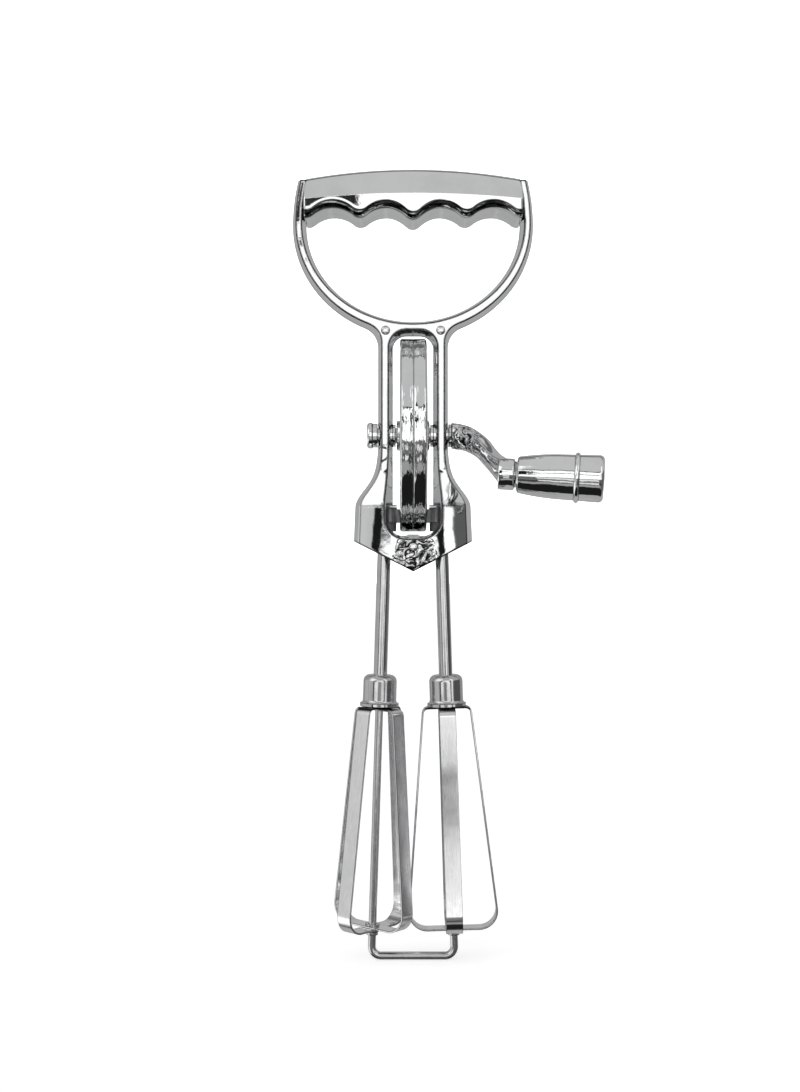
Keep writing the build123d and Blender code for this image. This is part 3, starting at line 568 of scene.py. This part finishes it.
def studio_surround():
    """Soft studio of grey, white and black panels, which the chrome reflects.

    Every panel is a rectangle in degrees round the object: bearing from the front, with
    the crank side positive, or its size without the sign as spread, and elevation. A later
    panel covers an earlier one.
    """
    world = bpy.data.worlds.new("studio")
    bpy.context.scene.world = world
    world.use_nodes = True
    nodes = Nodes(world.node_tree)
    direction = nodes.add("ShaderNodeTexCoord").outputs["Generated"]
    x, y, z = nodes.axes(direction)
    degrees = 180.0 / math.pi
    bearing = nodes.product(nodes.math("ARCTAN2", x, nodes.product(y, -1.0)), degrees)
    spread = nodes.math("ABSOLUTE", bearing)
    elevation = nodes.product(nodes.math("ARCSINE", z), degrees)

    panels = [
        # angle across, from, to, lowest, highest, brightness, softness
        (spread, 98, 181, -96, 44, 0.40, 10.0),          # rear wall
        (spread, 120, 181, 44, 56, 0.14, 3.0),           # darker rail above it
        (bearing, -125, -54, -40, 9, 0.60, 8.0),         # pale screen on the left
        (bearing, -125, -56, -40, -13, 1.15, 6.0),       # its brighter lower part
        (bearing, 48, 112, -60, 17, 0.11, 7.0),          # dark screen on the crank side
        (spread, -1, 118, -96, -46, 0.012, 3.0),         # black cloth under the object
        (spread, -1, 49, -46, -36, 0.34, 4.0),           # table edge, in three bands
        (spread, -1, 49, -36, -23, 0.06, 3.0),
        (spread, -1, 49, -23, -8, 0.15, 4.0),
        (bearing, -38, 48, -8, 27, 1.30, 2.5),           # front panel
        (bearing, -44, 30, 26.5, 30.5, 0.02, 1.5),       # its upper seam
        (bearing, -78, -30, 10, 50, 1.30, 5.0),          # left softbox
        (bearing, 31, 50, 14, 50, 1.30, 4.0),            # right softbox
        (bearing, -47, -37, -57, 8, 0.01, 2.0),          # left stand
        (bearing, 29, 37, -57, 22, 0.01, 2.0),           # right stand
        (bearing, -30, -1.6, 11.5, 14.5, 0.02, 0.8),     # boom across the front panel
        (bearing, -37, -25, 2, 22, 0.01, 2.0),           # narrow card at the left
        (bearing, 24, 29.5, 2, 22, 0.01, 2.0),           # narrow card at the right
    ]
    level = 0.56
    for across, left, right, low, high, value, soft in panels:
        half = soft / 2
        inside = nodes.product(
            nodes.ramp(across, left - half, left + half),
            nodes.ramp(across, right - half, right + half, 1.0, 0.0),
            nodes.ramp(elevation, low - half, low + half),
            nodes.ramp(elevation, high - half, high + half, 1.0, 0.0),
        )
        level = nodes.mix(inside, level, value)
    background = nodes.add("ShaderNodeBackground")
    nodes.put(background.inputs["Color"], level)
    nodes.put(nodes.add("ShaderNodeOutputWorld").inputs["Surface"], background.outputs[0])


def plain_surface(name, glow):
    """Pale card that is nearly white under the studio light."""
    material, _, shader, _ = new_material(name)
    shader.inputs["Base Color"].default_value = (0.86, 0.86, 0.86, 1.0)
    shader.inputs["Roughness"].default_value = 0.9
    shader.inputs["Specular IOR Level"].default_value = 0.0
    shader.inputs["Emission Color"].default_value = (1.0, 1.0, 1.0, 1.0)
    shader.inputs["Emission Strength"].default_value = glow
    return material


def floor_and_backdrop():
    """A wide pale floor and a pale dome, both left out of the chrome's reflections."""
    bpy.ops.mesh.primitive_circle_add(
        vertices=96, radius=STUDIO_RADIUS, fill_type="NGON", location=(0, 0, FLOOR_Z))
    floor = bpy.context.object
    floor.name = "floor"
    floor.data.materials.append(plain_surface("floor_card", 0.58))
    bpy.ops.mesh.primitive_uv_sphere_add(segments=96, ring_count=48, radius=STUDIO_RADIUS)
    dome = bpy.context.object
    dome.name = "backdrop"
    dome.data.materials.append(plain_surface("backdrop_card", 1.0))
    for card in (floor, dome):
        card.visible_glossy = False
    dome.visible_diffuse = False
    dome.visible_shadow = False
    dome.visible_transmission = False


def low_flag():
    """Card in front of the beaters, seen only in reflections: light with a dark middle."""
    low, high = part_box("right_outer_blade_loop")
    bottom = low.z + 0.05 * (high.z - low.z)
    top = high.z + 0.035
    dark_low, dark_high, soft = high.z - 0.044, high.z - 0.006, 0.002
    corners = [(FLAG_LEFT, bottom), (FLAG_RIGHT, bottom), (FLAG_RIGHT, top), (FLAG_LEFT, top)]
    builder = bmesh.new()
    builder.faces.new([builder.verts.new((x, -FLAG_DISTANCE, z)) for x, z in corners])
    mesh = bpy.data.meshes.new("low_flag")
    builder.to_mesh(mesh)
    builder.free()
    material, nodes, shader, place = new_material("flag_card")
    nodes.put(shader.inputs["Base Color"], (0.0, 0.0, 0.0, 1.0))
    nodes.put(shader.inputs["Emission Color"], (1.0, 1.0, 1.0, 1.0))
    patches = nodes.noise(nodes.stretch(place, (9.0, 1.0, 22.0)), 1.0, detail=2.0)
    middle = nodes.ramp(patches, 0.35, 0.65, 0.12, 0.34)
    ragged = nodes.product(nodes.noise(place, 70.0, detail=3.0), 0.016)
    level = nodes.math("ADD", nodes.axes(place)[2], nodes.math("SUBTRACT", ragged, 0.008))
    inside = nodes.product(
        nodes.ramp(level, dark_low - soft, dark_low + soft),
        nodes.ramp(level, dark_high + soft, dark_high - soft),
    )
    nodes.put(shader.inputs["Emission Strength"], nodes.mix(inside, 0.78, middle))
    mesh.materials.append(material)
    card = bpy.data.objects.new("low_flag", mesh)
    bpy.context.collection.objects.link(card)
    card.visible_camera = False
    card.visible_diffuse = False
    card.visible_shadow = False


def front_camera():
    """Long view from the front at the height of the housing."""
    data = bpy.data.cameras.new("camera")
    data.sensor_width = SENSOR_WIDTH
    data.lens = SENSOR_WIDTH * VIEW_DISTANCE / PICTURE_HEIGHT
    data.clip_start = 0.01
    data.clip_end = 50.0
    camera = bpy.data.objects.new("camera", data)
    bpy.context.collection.objects.link(camera)
    camera.location = (VIEW_X, -VIEW_DISTANCE, VIEW_Z)
    camera.rotation_euler = (math.radians(90), 0, 0)
    bpy.context.scene.camera = camera
    bpy.context.scene.view_settings.view_transform = "Standard"


dress_nodes()
grip_half("grip_front_casting", -1, "grip_front_half")
grip_half("grip_rear_casting", 1, "grip_rear_half")
crank_casting()
studio_surround()
floor_and_backdrop()
low_flag()
front_camera()
